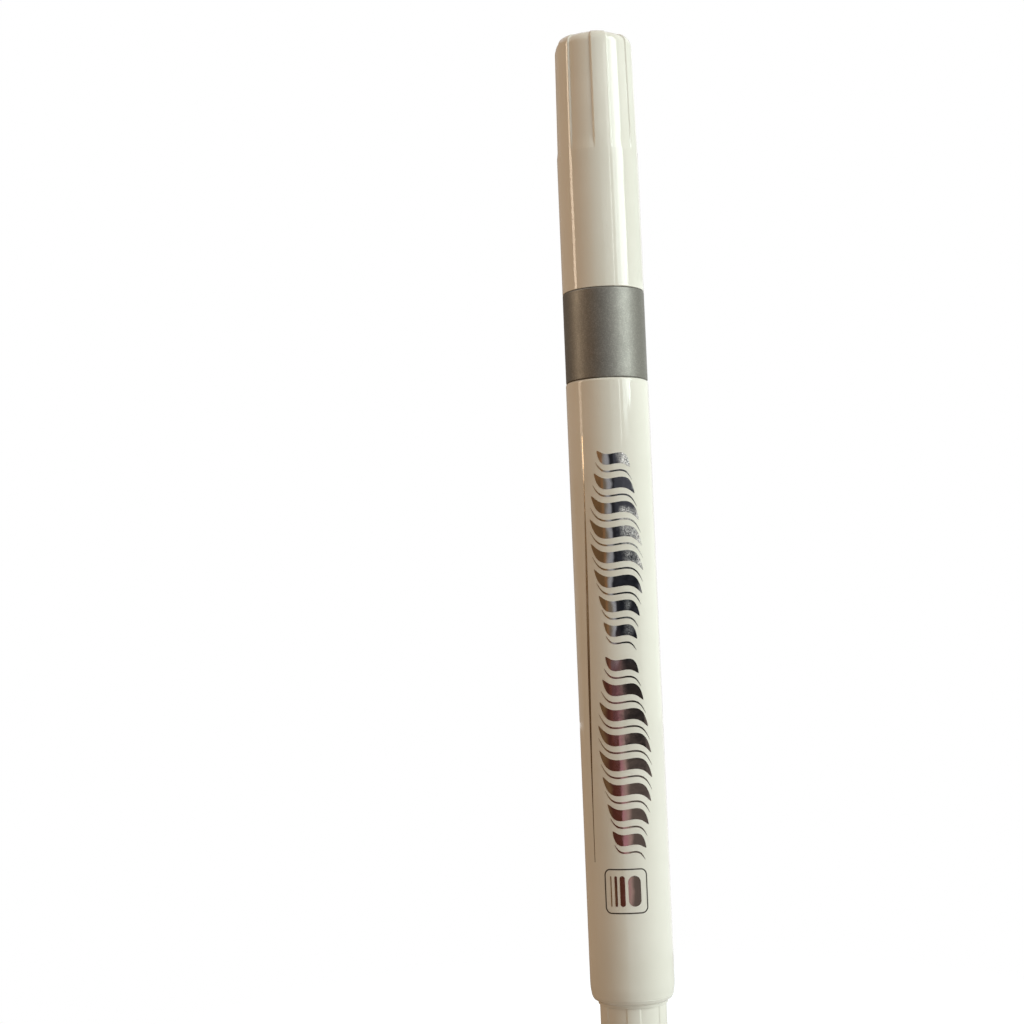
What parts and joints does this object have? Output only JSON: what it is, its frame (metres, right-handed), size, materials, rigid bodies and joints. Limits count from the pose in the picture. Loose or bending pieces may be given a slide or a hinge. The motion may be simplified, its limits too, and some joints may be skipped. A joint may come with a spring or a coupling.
{
  "type": "paint marker",
  "caption": "Slim paint marker with a glossy white barrel, a silver-grey ring, a fluted pull-off cap and a spring-loaded valve behind a fibre nib.",
  "frame": {"origin": "centre of the flat end face of the tail, on which the marker stands", "axes": "+Z along the marker's axis from the tail to the cap; -Y is the side that the picture shows"},
  "size_m": [0.0116, 0.0116, 0.1435],
  "materials": {
    "white_gloss": "gloss",
    "silver_satin": "satin",
    "white_section": "satin",
    "fibre": "matte",
    "valve_plastic": "satin",
    "seal_rubber": "matte",
    "spring_steel": "satin",
    "ball_steel": "polished",
    "liner_plastic": "satin"
  },
  "bodies": {
    "marker": {"barrel": "white_gloss", "tail_plug": "white_gloss", "color_ring": "silver_satin", "front_section": "white_section", "valve_seat": "valve_plastic", "valve_cage": "valve_plastic", "valve_spring": "spring_steel"},
    "cap": {"cap_shell": "white_gloss", "cap_liner": "liner_plastic"},
    "tip": {"nib": "fibre"},
    "poppet": {"valve_stem": "valve_plastic", "stem_seal": "seal_rubber"},
    "ball": {"mixing_ball": "ball_steel"}
  },
  "joints": [
    {"name": "cap_pull", "type": "slide", "parent": "marker", "child": "cap", "axis": [0, 0, 1], "range_m": [0, 0.042]},
    {"name": "nib_press", "type": "slide", "parent": "marker", "child": "tip", "axis": [0, 0, -1], "range_m": [0, 0.0025], "stiffness_N_per_m": 400, "springref_m": -0.002},
    {"name": "valve_lift", "type": "slide", "parent": "marker", "child": "poppet", "axis": [0, 0, -1], "range_m": [0, 0.0025], "deforming": ["valve_spring"]},
    {"name": "ball_run", "type": "slide", "parent": "marker", "child": "ball", "axis": [0, 0, 1], "range_m": [0, 0.0591]}
  ],
  "couplings": [
    {"joint": "valve_lift", "follows": "nib_press", "ratio": 1}
  ]
}
